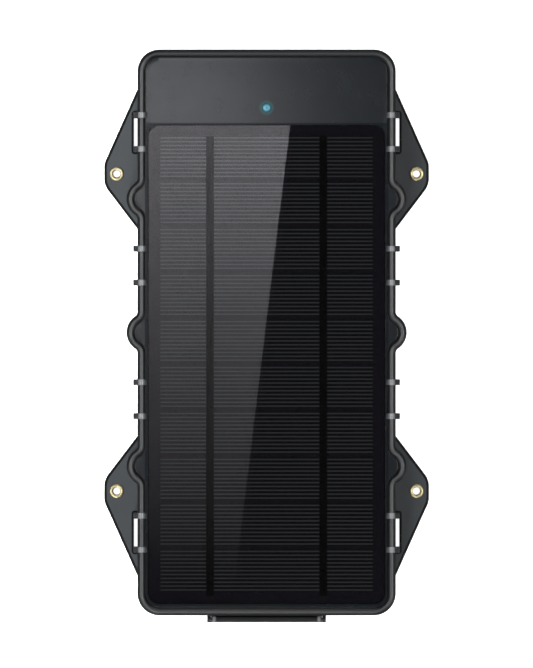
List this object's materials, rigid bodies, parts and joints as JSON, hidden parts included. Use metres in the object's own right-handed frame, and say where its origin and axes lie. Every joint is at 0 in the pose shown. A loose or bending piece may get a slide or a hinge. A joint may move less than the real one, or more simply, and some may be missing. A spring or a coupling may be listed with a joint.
{
  "type": "solar phone charger",
  "caption": "Rugged solar power bank with a glossy cell panel, raised rubber rim, screw lobes, four eyelet ears, a status light and a hinged port cover.",
  "frame": {"origin": "middle of the flat back face, under the centre of the case", "axes": "+Z out of the panel, +Y along the case towards the end with the indicator, +X to the right seen from the front; the ports face -Y"},
  "size_m": [0.092, 0.1621, 0.0203],
  "materials": {
    "front_plastic": "satin graphite polycarbonate blend, finely textured",
    "back_plastic": "fine spark-eroded texture, graphite grey",
    "bumper_rubber": "satin black thermoplastic rubber",
    "seal_rubber": "matte silicone rubber",
    "panel_clear": "clear glossy laminate over dark cells",
    "panel_laminate": "black fibre laminate",
    "cell_silicon": "near-black monocrystalline silicon with fine fingers",
    "ribbon_black": "black coated ribbon",
    "white_tape": "white",
    "eyelet_brass": "polished brass",
    "plated_steel": "nickel-plated steel",
    "circuit_board": "green solder mask",
    "chip_black": "moulded epoxy",
    "pad_foam": "closed-cell foam",
    "battery_pouch": "aluminium laminate foil",
    "key_plastic": "satin grey plastic",
    "light_pipe": "clear light pipe, lit cyan blue",
    "wire_red": "red wire insulation",
    "wire_black": "black wire insulation"
  },
  "bodies": {
    "case": {"back_shell": "back_plastic", "battery_foam": "pad_foam", "battery_lead_black": "wire_black", "battery_lead_red": "wire_red", "battery_pad": "pad_foam", "battery_pouch": "battery_pouch", "board_screw_left": "plated_steel", "board_screw_right": "plated_steel", "boost_inductor": "chip_black", "case_screw_left_1": "plated_steel", "case_screw_left_2": "plated_steel", "case_screw_left_3": "plated_steel", "case_screw_right_1": "plated_steel", "case_screw_right_2": "plated_steel", "case_screw_right_3": "plated_steel", "cell_ribbon_left": "ribbon_black", "cell_ribbon_right": "ribbon_black", "charge_chip": "chip_black", "edge_bumper": "bumper_rubber", "eyelet_lower_left": "eyelet_brass", "eyelet_lower_right": "eyelet_brass", "eyelet_upper_left": "eyelet_brass", "eyelet_upper_right": "eyelet_brass", "front_shell": "front_plastic", "indicator_board": "circuit_board", "indicator_lead": "wire_black", "indicator_led": "white_tape", "indicator_light_pipe": "light_pipe", "key_switch": "chip_black", "main_board": "circuit_board", "panel_backboard": "panel_laminate", "panel_cover": "panel_clear", "panel_lead": "wire_black", "panel_tape": "white_tape", "port_cover_pin": "plated_steel", "protection_board": "circuit_board", "shell_seal": "seal_rubber", "solar_cell_01": "cell_silicon", "solar_cell_02": "cell_silicon", "solar_cell_03": "cell_silicon", "solar_cell_04": "cell_silicon", "solar_cell_05": "cell_silicon", "solar_cell_06": "cell_silicon", "solar_cell_07": "cell_silicon", "solar_cell_08": "cell_silicon", "solar_cell_09": "cell_silicon", "solar_cell_10": "cell_silicon", "usb_a_socket": "plated_steel", "usb_c_socket": "plated_steel"},
    "port_cover": {"port_cover": "bumper_rubber", "port_seal": "seal_rubber"},
    "power_key": {"power_key": "key_plastic"}
  },
  "joints": [
    {"name": "port_cover_hinge", "type": "hinge", "parent": "case", "child": "port_cover", "pos_m": [0, -0.0811, 0.01312], "axis": [-1, 0, 0], "range_deg": [0, 120]},
    {"name": "power_key_press", "type": "slide", "parent": "case", "child": "power_key", "axis": [0, 1, 0], "range_m": [0, 0.0004], "stiffness_N_per_m": 2000, "springref_m": -0.0004}
  ]
}
